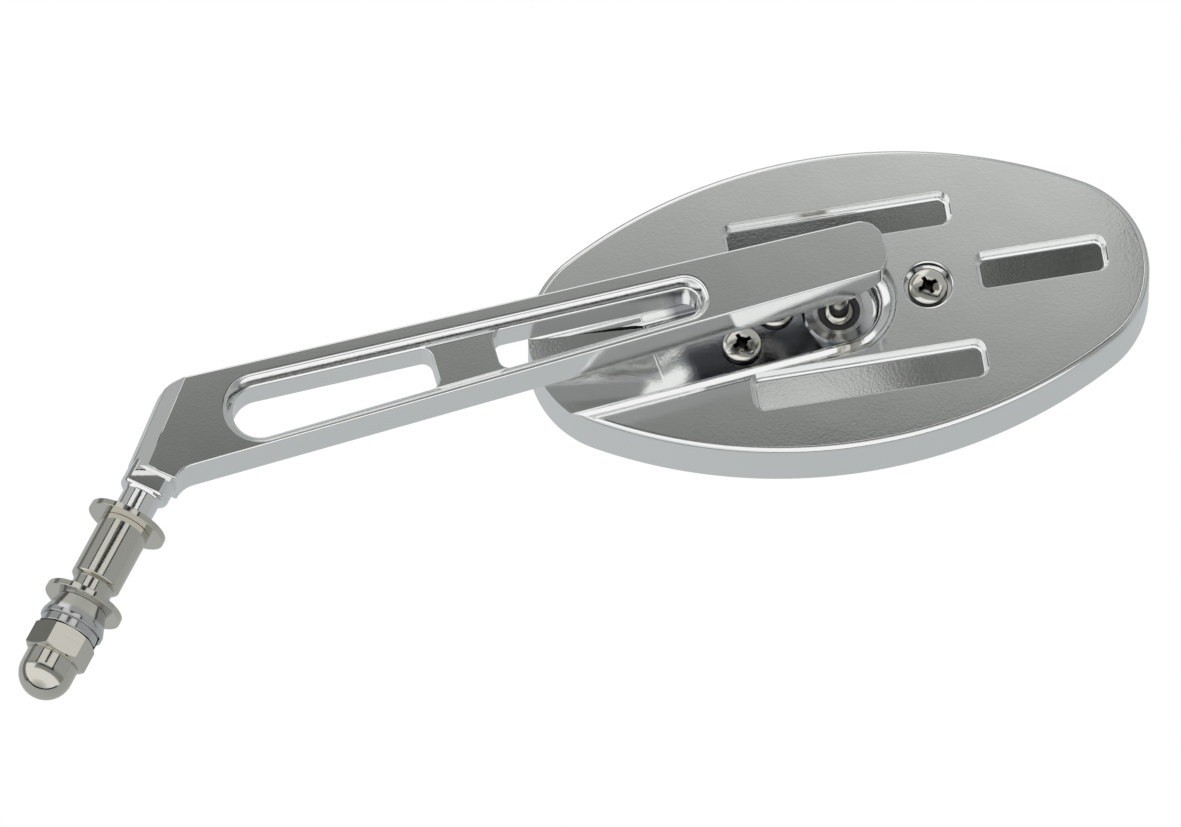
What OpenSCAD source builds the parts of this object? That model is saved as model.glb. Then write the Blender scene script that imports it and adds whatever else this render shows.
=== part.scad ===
// Motorcycle mirror with a machined arm: an oval chromed head on a ball joint, carried by a slotted
// arm that turns down into a threaded stud with its spacer, washers, collar and domed nut.
// Millimetres. The origin is on the stud's axis at the lower face of the upper washer. +Z points up
// the stud towards the arm, the arm leans over +X in the XZ plane, and the head's back faces -Y.

/* [Head] */
// Length of the oval head
head_l = 152.4; // [140:0.1:170]
// Width of the oval head
head_w = 77.5; // [74:0.1:86]
// Depth from the back face to the front rim
head_d = 17; // [17:0.1:22]
// Radius of the oval's two round ends
head_end_r = 25; // [22:0.1:29]
// Thickness of the shell's side wall
shell_wall = 2.2; // [1.8:0.1:2.8]
// Thickness of the shell's back
back_t = 2.2; // [1.8:0.1:2.8]
// Rounding of the shell's back edge
edge_r = 3; // [2.4:0.1:3.6]
// Slope of the oval's long axis above the horizontal
head_tilt = 36.1; // [32:0.1:42]

/* [Pockets in the back] */
// Depth of the three long pockets
pocket_d = 3.2; // [2:0.1:3.6]
// Corner radius at the floor of a pocket
pocket_r = 2.4; // [1.5:0.1:3]
// How far a pocket's walls lean outwards
pocket_draft = 0.9; // [0.4:0.1:1.4]
// Length of the upper pocket
pocket_top_l = 56.3; // [50:0.1:60]
// Width of the upper pocket
pocket_top_w = 9; // [8:0.1:10]
// Length of the lower pocket
pocket_low_l = 58; // [50:0.1:60]
// Width of the lower pocket
pocket_low_w = 10.1; // [8:0.1:11]
// Length of the pocket at the outer end
pocket_end_l = 32.5; // [28:0.1:34]
// Width of the pocket at the outer end
pocket_end_w = 9.8; // [8:0.1:11]

/* [Channel for the ball joint] */
// Width of the channel that the ball joint sits in
channel_w = 20; // [19:0.1:22]
// Depth of the channel below the back face
channel_d = 7.3; // [6.6:0.1:7.6]
// Thickness of the channel's floor and walls
channel_wall = 1.9; // [1.5:0.1:2.2]
// Radius of the rounding round the channel's mouth
channel_lip = 3.3; // [2:0.1:3.6]
// Distance from the ball to the foot of the channel's ramp
ramp_start = 38; // [34:0.1:42]
// Depth that is left at the outer end of the ramp
ramp_end_d = 1.2; // [0.8:0.1:2]

/* [Ball joint] */
// Diameter of the ball
ball_dia = 9; // [8:0.1:9.6]
// Depth of the ball's centre below the head's back face
ball_depth = 9.2; // [9:0.1:9.6]
// Diameter of the neck behind the ball
neck_dia = 5; // [4:0.1:5.4]
// Thickness of each of the two rings round the ball
ring_t = 1.25; // [1:0.05:1.3]
// Gap between two sliding round surfaces
slide_gap = 0.05; // [0.03:0.01:0.08]
// Half height of the inner ring
liner_half_h = 2.4; // [2:0.1:2.6]
// Half height of the outer ring
cup_half_h = 2.7; // [2.4:0.1:2.9]
// Outer diameter of the raised seat round the ball
seat_dia = 18; // [17:0.1:18.6]
// Height of the seat's lip above the ball's centre
seat_rise = 3.2; // [2.8:0.1:3.6]
// Thickness of the plate that clamps the joint inside the head
plate_t = 1.8; // [1.5:0.1:2]
// Depth of the plate's back below the ball's centre
plate_drop = 2; // [1.8:0.1:2.2]

/* [Head screws] */
// Diameter of a screw's head
screw_head_dia = 9.7; // [8.6:0.1:9.8]
// Height of a screw's head
screw_head_h = 2.5; // [2.1:0.1:2.8]
// Thread diameter of a screw
screw_dia = 5; // [4:0.1:5.4]
// Diameter of the round recess for the screw in the back face
recess_dia = 11.6; // [11.2:0.1:12.6]

/* [Glass] */
// Thickness of the mirror glass
glass_t = 2.5; // [2:0.1:2.6]
// How far the glass sits below the rim
glass_inset = 0.4; // [0.2:0.1:0.6]
// Width of the seal between glass and shell
seal_w = 1; // [0.8:0.1:1.6]
// Thickness of the foam pad behind the glass
pad_t = 0.9; // [0.8:0.1:1.2]
// Width of the ledge and of the pad on it
ledge_w = 3.4; // [2.8:0.1:4.2]

/* [Arm] */
// Distance from the knee on the stud's axis to the ball's axis
arm_reach = 167.4; // [150:0.1:185]
// Slope of the arm above the horizontal
arm_angle = 42; // [38:0.1:48]
// Thickness of the arm
arm_t = 13; // [12:0.1:15]
// Width of the arm at the knee
arm_w0 = 20.8; // [19:0.1:23]
// Width of the arm at the tip
arm_w1 = 11.7; // [11:0.1:13]
// Length of the tip past the ball's axis
arm_tip = 11.6; // [10:0.1:13]
// How far the upper edge stands out past an even rim round the groove
arm_crest = 2.4; // [1:0.1:3]
// Length of the hollowed underside of the tip
scoop_l = 11.4; // [10:0.1:11.4]
// Rounding of the arm's long edges
arm_edge = 1.6; // [1:0.1:2]
// Clear space between the arm and the head's back
arm_gap = 13; // [12:0.1:16]
// Height of the knee above the upper washer's lower face
knee_z = 25.4; // [24:0.1:28]
// Width of the foot
foot_w = 13; // [12:0.1:14]
// Height of the foot's square end
foot_z = 14.1; // [13:0.1:16]
// Height of the boss's end under the foot
boss_z = 9; // [8:0.1:10]
// Diameter of the boss under the foot
boss_dia = 12.5; // [12:0.1:12.6]
// Chamfer round the end of the boss
boss_edge = 1.2; // [0.6:0.1:1.5]
// How far the knee's outer corner leans out past the foot
knee_lean = 1.6; // [0.5:0.1:2]
// Width of the flat bevel down the left side of the knee
knee_bevel = 4.1; // [3:0.1:4.5]

/* [Groove and slots] */
// Start of the groove from the knee
groove_start = 13.4; // [12:0.1:18]
// Distance from the groove's end to the ball's axis
groove_stop = 33.6; // [28:0.1:40]
// Width of the rim on each side of the groove
groove_rim = 1.5; // [1.2:0.1:2]
// Depth of the groove in the arm's face
groove_d = 3; // [2:0.1:4]
// Width of the groove's sloping wall
groove_slope = 1.5; // [1:0.1:1.8]
// Distance from the ball's axis to the middle of the solid web
web_stop = 93.9; // [88:0.1:100]
// Length of the solid web between the two slots
web_l = 15.2; // [10:0.1:20]
// Corner radius of the slots at the web
slot_corner = 2.6; // [1.5:0.1:3]

/* [Stud and spacer] */
// Thread diameter of the stud
stud_dia = 8; // [7:0.1:8.4]
// Depth to which the stud is screwed into the foot
stud_bite = 12; // [9:0.1:14]
// Diameter of the neck under the foot
spigot_dia = 9.5; // [9.4:0.1:11]
// Outer diameter of both large washers
washer_dia = 20; // [17:0.1:22]
// Thickness of both large washers
washer_t = 1.6; // [1.2:0.1:2]
// Outer diameter of the spacer sleeve
sleeve_dia = 12.6; // [12:0.1:14]
// Length of the sleeve's full diameter
sleeve_l = 17; // [14:0.1:20]
// Chamfer at the lower end of the sleeve
sleeve_bevel = 0.7; // [0.4:0.1:1]
// Diameter of the sleeve's nose
nose_dia = 10.2; // [9.8:0.1:11]
// Length of the sleeve's nose
nose_l = 4.7; // [3:0.1:6]
// Extra diameter of the washers' and collar's holes over the thread
hole_play = 0.4; // [0.2:0.1:0.6]

/* [Collar and nut] */
// Diameter of the collar's small end
collar_dia_small = 12.8; // [12:0.1:14]
// Diameter of the collar's large end
collar_dia_large = 16.3; // [15:0.1:18]
// Length of the collar
collar_l = 6.2; // [5:0.1:8]
// Outer diameter of the split lock washer
lock_dia = 15; // [14:0.1:16]
// Thickness of the split lock washer
lock_t = 2.2; // [1.8:0.1:2.6]
// Width of the lock washer's split
lock_split = 1.6; // [1:0.1:2.4]
// Size of the nut across its flats
nut_af = 14; // [13:0.1:15]
// Height of the nut's hexagon
nut_hex_h = 7; // [6:0.1:8]
// Radius of the nut's dome
dome_r = 6.7; // [6.4:0.1:7]
// Length of the straight part between hexagon and dome
dome_l = 3.9; // [2:0.1:5]
// Length of thread that the nut has room for
nut_bore_l = 13; // [10:0.1:14]
// How much of the nut's thread the stud fills
nut_grip = 12.4; // [8:0.1:12.6]

/* [Hidden] */

$fn = 96;
hull_fn = 28;
eps = 0.01;
chrome = [0.80, 0.81, 0.82];
nickel = [0.76, 0.75, 0.71];
zinc = [0.70, 0.71, 0.72];
black = [0.12, 0.12, 0.13];

// Ball centre and the head's back face in the part's frame
ball_x = arm_reach * cos(arm_angle);
ball_z = knee_z + arm_reach * sin(arm_angle);
head_y = arm_t / 2 + arm_gap;
ball_y = head_y + ball_depth;

// Four arcs make the oval: two round ends and two long flanks that meet them smoothly
half_l = head_l / 2;
half_w = head_w / 2;
end_x = half_l - head_end_r;
flank_r = (end_x * end_x + half_w * half_w - head_end_r * head_end_r) / (2 * (half_w - head_end_r));
flank_y = flank_r - half_w;
flank_a = atan2(end_x, flank_y);

// Levels inside the head, as heights below the back face
floor_z = -channel_d;
seat_z = -(ball_depth - seat_rise);
plate_z = -(ball_depth + plate_drop);
glass_z = -(head_d - glass_inset - glass_t);
pad_z = glass_z + pad_t;
seal_set = 0.2;

// Spheres of the ball joint
liner_in_r = ball_dia / 2 + slide_gap;
liner_out_r = liner_in_r + ring_t;
cup_in_r = liner_out_r + slide_gap;
cup_out_r = cup_in_r + ring_t;
seat_r = cup_out_r + slide_gap;

// The channel runs towards the arm's knee
channel_turn = arm_angle - head_tilt;
channel_reach = head_l;

// Screw places in the head, along and across the oval
outer_screw = [22, 0.5];
low_screw = [-24.7, -4.8];
high_screw = [-15.4, 3];
screw_tip_z = plate_z - plate_t - 0.2;
recess_z = -screw_head_h - 0.1;
boss_r = recess_dia / 2 + 1.6;
plate_bar_w = 10;
plate_rim = 3;

// Cross recess of the screws: width and reach of a wing, and depth
cross_w = 1.1;
cross_l = 0.56 * screw_head_dia;
cross_d = 1.6;
cross_turn = 20;

// Pocket places: the end nearest the head's outer tip, and the height of the middle
pocket_top = [31, 20];
pocket_low = [33, -20.5];
pocket_end = [66.5, 2];

// Arm outline: half width at a distance from the knee
arm_len = arm_reach + arm_tip;
function arm_half(x) = (arm_w0 + (arm_w1 - arm_w0) * x / arm_len) / 2;
// A point of the arm's own frame, along and across it, in the XZ plane
function from_arm(x, y) = [
  x * cos(arm_angle) - y * sin(arm_angle),
  knee_z + x * sin(arm_angle) + y * cos(arm_angle)
];
// Distance along the arm at which its edge crosses a vertical line; side is 1 for the upper edge
function edge_at(x, side) = let (w = arm_w0 / 2 + (side > 0 ? arm_crest : 0))
  (x + side * w * sin(arm_angle)) / cos(arm_angle);

// Groove and slots, as distances from the knee
groove_x0 = groove_start;
groove_x1 = arm_reach - groove_stop;
web_x0 = arm_reach - web_stop - web_l / 2;
web_x1 = arm_reach - web_stop + web_l / 2;
slot_inset = groove_rim + groove_slope + 0.3;

// Heights of the stack under the foot
sleeve_z = -sleeve_l;
nose_z = sleeve_z - nose_l;
collar_z = nose_z - washer_t;
lock_z = collar_z - collar_l;
nut_z = lock_z - lock_t;
hole_dia = stud_dia + hole_play;
ball_shank_dia = 7;
ball_shank_l = arm_t - 4;
flange_dia = 9.6;
flange_t = 2.4;
flange_taper = 3;
flange_sink = 3.5;
grub_dia = 4;
grub_l = 3.6;

// Corner cuts at the arm's tip, as [along, across]: below, and the two above
tip_low = [2.6, 3.6];
tip_high = [1.6, 1.4];
tip_top = [4, 4];

// The knee's outer corner, and the two flats down its left side: depth from the face, step from the side
knee_corner_z = knee_z + 7.6;
knee_flat_d = 3.3;
knee_side_w = 1.2;
knee_slope = 0.22;

// Hollow under the tip, as [distance from the tip, height above the arm's back]
scoop_bends = [[8.7, 1.5], [5.3, 3.8], [1.9, 7.5], [0.5, 9.9], [-1, 12.5]];

// The arm's own frame: x along the arm, y across it, z out of its visible face
module in_arm() {
  translate([0, 0, knee_z]) rotate([0, -arm_angle, 0]) rotate([90, 0, 0]) children();
}

// The head's own frame: x along the oval, y across it, z out of its back face
module in_head() {
  translate([ball_x, head_y, ball_z]) rotate([0, -head_tilt, 0]) rotate([90, 0, 0]) children();
}

// The ball's frame: as the head's, but centred on the ball
module at_ball() {
  in_head() translate([0, 0, -ball_depth]) children();
}

// The oval, drawn smaller all round by inset
module oval(inset = 0) {
  for (side = [-1, 1]) translate([side * end_x, 0]) circle(r = head_end_r - inset);
  intersection() {
    translate([0, -flank_y]) circle(r = flank_r - inset, $fn = 360);
    translate([0, flank_y]) circle(r = flank_r - inset, $fn = 360);
    square([2 * (flank_r - inset) * sin(flank_a), head_w], center = true);
  }
}

// Carries a section round the oval; in the section x is 0 on the outline and negative inside
module sweep_oval() {
  for (side = [0, 180]) rotate(side) {
    translate([end_x, 0, 0]) rotate(flank_a - 90) rotate_extrude(angle = 180 - 2 * flank_a)
      translate([head_end_r, 0]) children();
    translate([0, -flank_y, 0]) rotate(90 - flank_a) rotate_extrude(angle = 2 * flank_a, $fn = 360)
      translate([flank_r, 0]) children();
  }
}

// A rounded rectangle that starts at its outer end and runs back along -x
module pocket_outline(l, w, r) {
  translate([-l / 2, 0]) {
    square([l, w - 2 * r], center = true);
    square([l - 2 * r, w], center = true);
    for (x = [-1, 1]) for (y = [-1, 1]) translate([x * (l / 2 - r), y * (w / 2 - r)]) circle(r = r);
  }
}

// A pocket with walls that lean outwards, cut into the back face
module pocket_cut(place, l, w) {
  translate([place[0], place[1], 0]) hull() {
    linear_extrude(height = 0.5) pocket_outline(l, w, pocket_r + pocket_draft / 2, $fn = hull_fn);
    translate([-pocket_draft, 0, -pocket_d]) linear_extrude(height = eps)
      pocket_outline(l - 2 * pocket_draft, w - 2 * pocket_draft, pocket_r, $fn = hull_fn);
  }
}

// The metal left under a pocket inside the head
module pocket_backing(place, l, w) {
  translate([place[0] + back_t / 2, place[1], -pocket_d - back_t + 0.4])
    linear_extrude(height = pocket_d + back_t - 0.9) pocket_outline(l + back_t, w + back_t, pocket_r);
}

// The channel's plan: a round end at the ball, open at the rim on the arm's side
module channel_plan(grow) {
  rotate(channel_turn) {
    circle(r = channel_w / 2 + grow);
    translate([-channel_reach, -channel_w / 2 - grow]) square([channel_reach, channel_w + 2 * grow]);
  }
}

// Half of the channel's section; its mouth is rounded in short flats
module channel_section() {
  half = channel_w / 2;
  over = 1;
  lip = [for (a = [0 : 30 : 90]) [half + channel_lip * (1 - cos(a)), channel_lip * (sin(a) - 1)]];
  polygon(concat(
    [[0, over], [0, floor_z], [half, floor_z]], lip, [[half + channel_lip + 2 * over, over]]
  ));
}

module channel_cut() {
  rotate(channel_turn) {
    rotate(-90) rotate_extrude(angle = 180) channel_section();
    translate([-channel_reach, 0, 0]) rotate([90, 0, 90]) linear_extrude(height = channel_reach) {
      channel_section();
      mirror([1, 0]) channel_section();
    }
  }
}

// The channel's floor climbs to the rim in three flats; this is what stays under them
module channel_ramp() {
  low = floor_z - 1;
  rise = channel_d - ramp_end_d;
  run = half_l - ramp_start;
  rotate(channel_turn) rotate([90, 0, 0]) translate([-ramp_start, 0, -channel_w])
    linear_extrude(height = 2 * channel_w) polygon([
      [0, low], [0, floor_z],
      [-run / 9, floor_z + rise / 20],
      [-2 * run / 9, floor_z + rise / 7],
      [-run, -ramp_end_d],
      [-2 * run, rise - ramp_end_d],
      [-2 * run, low]
    ]);
}

// Section of the shell's side wall with its rounded back edge and the ledge for the pad
module wall_section() {
  edge = [for (a = [0 : 22.5 : 90]) [edge_r * (cos(a) - 1), edge_r * (sin(a) - 1)]];
  ledge = -shell_wall - ledge_w;
  polygon(concat([[0, -head_d]], edge, [
    [ledge, 0], [ledge, -back_t], [-edge_r - 0.6, -back_t], [-shell_wall, -edge_r - 0.6],
    [-shell_wall, pad_z + 2 + ledge_w], [ledge, pad_z + 2], [ledge, pad_z], [-shell_wall, pad_z],
    [-shell_wall, -head_d]
  ]));
}

module head_shell() {
  color(chrome) in_head() difference() {
    union() {
      sweep_oval() wall_section();
      translate([0, 0, -back_t]) linear_extrude(height = back_t) oval(edge_r + 1);
      intersection() {
        translate([0, 0, -head_d]) linear_extrude(height = head_d - 0.5) oval(edge_r);
        union() {
          pocket_backing(pocket_top, pocket_top_l, pocket_top_w);
          pocket_backing(pocket_low, pocket_low_l, pocket_low_w);
          pocket_backing(pocket_end, pocket_end_l, pocket_end_w);
          translate([0, 0, floor_z - channel_wall]) linear_extrude(height = channel_d + channel_wall - 0.5)
            channel_plan(channel_wall);
          translate([0, 0, plate_z]) cylinder(d = seat_dia + 3, h = -plate_z - 0.5);
          for (s = [outer_screw, low_screw, high_screw])
            translate([s[0], s[1], plate_z]) cylinder(r = boss_r, h = -plate_z - 0.5);
        }
      }
    }
    pocket_cut(pocket_top, pocket_top_l, pocket_top_w);
    pocket_cut(pocket_low, pocket_low_l, pocket_low_w);
    pocket_cut(pocket_end, pocket_end_l, pocket_end_w);
    difference() {
      channel_cut();
      translate([0, 0, floor_z - 1]) cylinder(d = seat_dia, h = seat_z - floor_z + 1);
      channel_ramp();
    }
    translate([0, 0, -ball_depth]) sphere(r = seat_r);
    translate([outer_screw[0], outer_screw[1], recess_z]) cylinder(d = recess_dia, h = 4);
    for (s = [outer_screw, low_screw, high_screw])
      translate([s[0], s[1], -head_d]) cylinder(d = screw_dia + hole_play, h = head_d + 1);
  }
}

// Plate inside the head; its round seat holds the joint from below
module socket_plate() {
  reach = outer_screw[0] - low_screw[0];
  color(zinc) in_head() difference() {
    translate([0, 0, plate_z - plate_t]) linear_extrude(height = plate_t) {
      circle(r = cup_out_r + plate_rim);
      for (s = [outer_screw, low_screw, high_screw]) translate(s) circle(r = boss_r - 1);
      translate([low_screw[0], -plate_bar_w / 2]) square([reach, plate_bar_w]);
    }
    translate([0, 0, -ball_depth]) sphere(r = seat_r);
    for (s = [outer_screw, low_screw, high_screw])
      translate([s[0], s[1], plate_z - plate_t - 1]) cylinder(d = screw_dia, h = plate_t + 2);
  }
}

// Pan-head screw with a cross recess; the head's underside is at height seat
module pan_screw(place, seat) {
  color(nickel) in_head() translate([place[0], place[1], seat]) difference() {
    union() {
      cylinder(d = screw_head_dia, h = screw_head_h * 0.45);
      intersection() {
        cylinder(d = screw_head_dia, h = screw_head_h);
        translate([0, 0, screw_head_h - screw_head_dia]) sphere(r = screw_head_dia);
      }
      translate([0, 0, screw_tip_z - seat]) cylinder(d = screw_dia, h = seat - screw_tip_z + eps);
    }
    for (turn = [0, 90]) rotate(turn + cross_turn)
      translate([-cross_l / 2, -cross_w / 2, screw_head_h - cross_d]) cube([cross_l, cross_w, 2 * cross_d]);
    translate([0, 0, screw_head_h - cross_d - 0.3]) cylinder(r1 = 0.4, r2 = 1.3, h = 2);
  }
}

module screw_outer() {
  pan_screw(outer_screw, recess_z);
}

module screw_channel_low() {
  pan_screw(low_screw, floor_z);
}

module screw_channel_high() {
  pan_screw(high_screw, floor_z);
}

// Foam strip on the ledge behind the glass
module backing_pad() {
  color(black) in_head() translate([0, 0, glass_z]) linear_extrude(height = pad_t) difference() {
    oval(shell_wall);
    oval(shell_wall + ledge_w);
  }
}

// Rubber seal between the glass and the shell
module glass_seal() {
  back = -head_d + seal_set;
  color(black) in_head() translate([0, 0, back]) linear_extrude(height = glass_z - back) difference() {
    oval(shell_wall);
    oval(shell_wall + seal_w);
  }
}

module mirror_glass() {
  color([0.72, 0.78, 0.82]) in_head() translate([0, 0, glass_z - glass_t])
    linear_extrude(height = glass_t) oval(shell_wall + seal_w);
}

// A ring between two spheres about the ball's centre
module ball_ring(inner_r, outer_r, half_h) {
  at_ball() difference() {
    intersection() {
      sphere(r = outer_r);
      translate([0, 0, -half_h]) cylinder(r = outer_r + 1, h = 2 * half_h);
    }
    sphere(r = inner_r);
  }
}

module ball_liner() {
  color(black) ball_ring(liner_in_r, liner_out_r, liner_half_h);
}

module pressure_cup() {
  color(zinc) ball_ring(cup_in_r, cup_out_r, cup_half_h);
}

// Ball, neck, flange and shank turned in one piece; the shank sits in the arm's tip
module ball_stud() {
  color(nickel) in_arm() translate([arm_reach, 0, -arm_t / 2]) difference() {
    union() {
      translate([0, 0, arm_t / 2 - ball_y]) sphere(d = ball_dia);
      translate([0, 0, arm_t / 2 - ball_y]) cylinder(d = neck_dia, h = ball_y - arm_t / 2);
      translate([0, 0, -flange_t]) cylinder(d = flange_dia, h = flange_t + flange_sink);
      translate([0, 0, -flange_t - flange_taper]) cylinder(d1 = neck_dia, d2 = flange_dia, h = flange_taper);
      translate([0, 0, -eps]) cylinder(d = ball_shank_dia, h = ball_shank_l + eps);
    }
  }
}

// The headless screw enters through the arm's upper edge, above the middle of the shank
module at_grub() {
  shank_mid = (flange_sink + ball_shank_l - arm_t) / 2;
  translate([arm_reach, 0, shank_mid]) rotate([-90, 0, 0]) children();
}

// Small headless screw in the tip that locks the ball stud
module stud_grub_screw() {
  color(zinc) in_arm() at_grub() translate([0, 0, ball_shank_dia / 2]) difference() {
    cylinder(d = grub_dia, h = grub_l);
    translate([0, 0, grub_l - 1.6]) cylinder(d = 2, h = 2, $fn = 6);
  }
}

// Corner i of an outline that runs anticlockwise, moved inwards from both its edges
function unit(v) = v / norm(v);
function inward(a, b) = [-unit(b - a)[1], unit(b - a)[0]];
function corner_in(points, i, inset) = let (
  n = len(points),
  before = inward(points[(i + n - 1) % n], points[i]),
  after = inward(points[i], points[(i + 1) % n])
) points[i] + inset * (before + after) / (1 + before * after);

// A slab with round edges, drawn as level outlines that shrink near both faces. The outline's first
// corner sees all the others, so the two faces are fans from it
module round_slab(points, t, r) {
  n = len(points);
  turns = [0, 30, 60, 90];
  low = [for (k = [3 : -1 : 0]) [r - t / 2 - r * sin(turns[k]), r - r * cos(turns[k])]];
  high = [for (k = [0 : 3]) [t / 2 - r + r * sin(turns[k]), r - r * cos(turns[k])]];
  levels = concat(low, high);
  verts = [for (level = levels) for (i = [0 : n - 1]) concat(corner_in(points, i, level[1]), level[0])];
  sides = [for (k = [0 : len(levels) - 2]) for (i = [0 : n - 1]) [
    k * n + i, (k + 1) * n + i, (k + 1) * n + (i + 1) % n, k * n + (i + 1) % n
  ]];
  last = (len(levels) - 1) * n;
  polyhedron(verts, concat(
    sides,
    [for (i = [1 : n - 2]) [0, i, i + 1]],
    [for (i = [1 : n - 2]) [last, last + i + 1, last + i]]
  ));
}

// Direction out of an anticlockwise outline between two of its round corners, each [x, y, radius]
function side_angle(a, b) = let (d = [b[0] - a[0], b[1] - a[1]])
  atan2(d[1], d[0]) - 90 + asin((a[2] - b[2]) / norm(d));

// A convex outline through round corners, with the flats between them touching both circles
module round_outline(corners) {
  n = len(corners);
  polygon([for (i = [0 : n - 1])
    let (
      c = corners[i],
      from = side_angle(corners[(i + n - 1) % n], c),
      turn = (side_angle(c, corners[(i + 1) % n]) - from + 720) % 360,
      steps = ceil(turn / 15)
    )
    for (k = [0 : steps]) let (a = from + turn * k / steps) [c[0] + c[2] * cos(a), c[1] + c[2] * sin(a)]
  ]);
}

// The corners at one end of a slot: a full round end, or two small corners at the web
function round_end(x, out, inset) = let (r = arm_half(x) - inset) [[x - out * r, 0, r]];
function web_end(x, out) = let (
  across = arm_half(x) - slot_inset - slot_corner,
  along = x - out * slot_corner
) [[along, -out * across, slot_corner], [along, out * across, slot_corner]];

module groove_plan(inset) {
  x0 = groove_x0 + inset - groove_rim;
  x1 = groove_x1 - inset + groove_rim;
  round_outline(concat(round_end(x0, -1, inset), round_end(x1, 1, inset)));
}

module groove_cut() {
  over = 0.5;
  slope_over = groove_slope * over / groove_d;
  hull() {
    translate([0, 0, arm_t / 2 + over]) linear_extrude(height = eps) groove_plan(groove_rim - slope_over);
    translate([0, 0, arm_t / 2 - groove_d]) linear_extrude(height = eps)
      groove_plan(groove_rim + groove_slope);
  }
}

// The two slots leave the solid web between them
module slot_cuts() {
  x0 = groove_x0 + slot_inset - groove_rim;
  x1 = groove_x1 - slot_inset + groove_rim;
  translate([0, 0, -arm_t]) linear_extrude(height = 2 * arm_t) {
    round_outline(concat(round_end(x0, -1, slot_inset), web_end(web_x0, 1)));
    round_outline(concat(web_end(web_x1, -1), round_end(x1, 1, slot_inset)));
  }
}

// Outline of the arm from the inner corner of the knee round the tip and down to the foot
module arm_blank() {
  left = -foot_w / 2;
  knee_in = edge_at(-left, -1);
  knee_out = edge_at(left, 1);
  low = -arm_half(arm_len);
  high = arm_half(arm_len) + arm_crest;
  rotate([90, 0, 0]) round_slab([
    from_arm(knee_in, -arm_half(knee_in)),
    from_arm(arm_len - tip_low[0], low),
    from_arm(arm_len, low + tip_low[1]),
    from_arm(arm_len, high - tip_top[1]),
    from_arm(arm_len - tip_high[0], high - tip_high[1]),
    from_arm(arm_len - tip_top[0], high),
    from_arm(knee_out, arm_half(knee_out) + arm_crest),
    [left - knee_lean, knee_corner_z],
    [left, foot_z],
    [-left, foot_z]
  ], arm_t, arm_edge);
}

// What the two flats down the left side of the knee take off, leaning as that side does
module knee_flats() {
  left = -foot_w / 2;
  front = -arm_t / 2;
  lean = atan2(knee_lean, knee_corner_z - foot_z);
  over = 5;
  bend = [left + knee_side_w, front + knee_flat_d];
  translate([0, 0, foot_z]) rotate([0, -lean, 0]) translate([0, 0, -over])
    linear_extrude(height = 2 * knee_z) polygon([
      bend + [knee_bevel, -knee_flat_d] * 1.3,
      bend,
      bend + [-knee_side_w, knee_side_w / knee_slope / 2] * 2,
      [left - over, bend[1] + knee_side_w / knee_slope],
      [left - over, front - over]
    ]);
}

// The round boss between the foot and the spigot, flat behind the foot's front edge
module foot_boss() {
  front = 0.1 + arm_edge - arm_t / 2;
  difference() {
    union() {
      translate([0, 0, boss_z + boss_edge]) cylinder(d = boss_dia, h = foot_z - boss_z + 1);
      translate([0, 0, boss_z]) cylinder(d1 = boss_dia - 2 * boss_edge, d2 = boss_dia, h = boss_edge);
    }
    translate([-boss_dia, front - boss_dia, boss_z - 1])
      cube([2 * boss_dia, boss_dia, foot_z - boss_z + 8]);
  }
}

// The hollow under the tip, in flats across the arm
module tip_scoop() {
  back = -arm_t / 2;
  over = 2;
  rotate([90, 0, 0]) translate([arm_len, 0, -arm_w0]) linear_extrude(height = 2 * arm_w0)
    polygon(concat(
      [[-scoop_l - over, back - over / 2], [-scoop_l, back]],
      [for (b = scoop_bends) [-b[0], back + b[1]]],
      [[over, back + 2 * arm_t / 2], [over, back - over / 2]]
    ));
}

module arm() {
  color(chrome) difference() {
    union() {
      difference() {
        arm_blank();
        knee_flats();
      }
      foot_boss();
      translate([0, 0, washer_t]) cylinder(d = spigot_dia, h = boss_z - washer_t + 2);
    }
    in_arm() {
      groove_cut();
      slot_cuts();
      tip_scoop();
      translate([arm_reach, 0, -arm_t]) {
        cylinder(d = ball_shank_dia, h = arm_t / 2 + ball_shank_l);
        cylinder(d = flange_dia, h = arm_t / 2 + flange_sink);
      }
      at_grub() cylinder(d = grub_dia, h = arm_w0);
    }
    translate([0, 0, -1]) cylinder(d = stud_dia, h = boss_z + stud_bite + 1);
  }
}

module mounting_stud() {
  bottom = nut_z - nut_grip;
  chamfer = 0.8;
  color(zinc) translate([0, 0, bottom]) union() {
    cylinder(d1 = stud_dia - 2 * chamfer, d2 = stud_dia, h = chamfer);
    translate([0, 0, chamfer]) cylinder(d = stud_dia, h = boss_z + stud_bite - bottom - chamfer);
  }
}

// A flat ring with its top face at height z
module ring(z, outer, t) {
  translate([0, 0, z - t]) difference() {
    cylinder(d = outer, h = t);
    translate([0, 0, -1]) cylinder(d = hole_dia, h = t + 2);
  }
}

module upper_washer() {
  color(nickel) ring(washer_t, washer_dia, washer_t);
}

module lower_washer() {
  color(nickel) ring(nose_z, washer_dia, washer_t);
}

module spacer_sleeve() {
  color(nickel) rotate_extrude() polygon([
    [hole_dia / 2, 0], [sleeve_dia / 2, 0],
    [sleeve_dia / 2, sleeve_z + sleeve_bevel], [sleeve_dia / 2 - sleeve_bevel, sleeve_z],
    [nose_dia / 2, sleeve_z], [nose_dia / 2, nose_z], [hole_dia / 2, nose_z]
  ]);
}

module bevel_collar() {
  lip = 1.2;
  color(zinc) rotate_extrude() polygon([
    [hole_dia / 2, collar_z], [collar_dia_small / 2, collar_z], [collar_dia_large / 2, lock_z + lip],
    [collar_dia_large / 2, lock_z], [hole_dia / 2, lock_z]
  ]);
}

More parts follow.
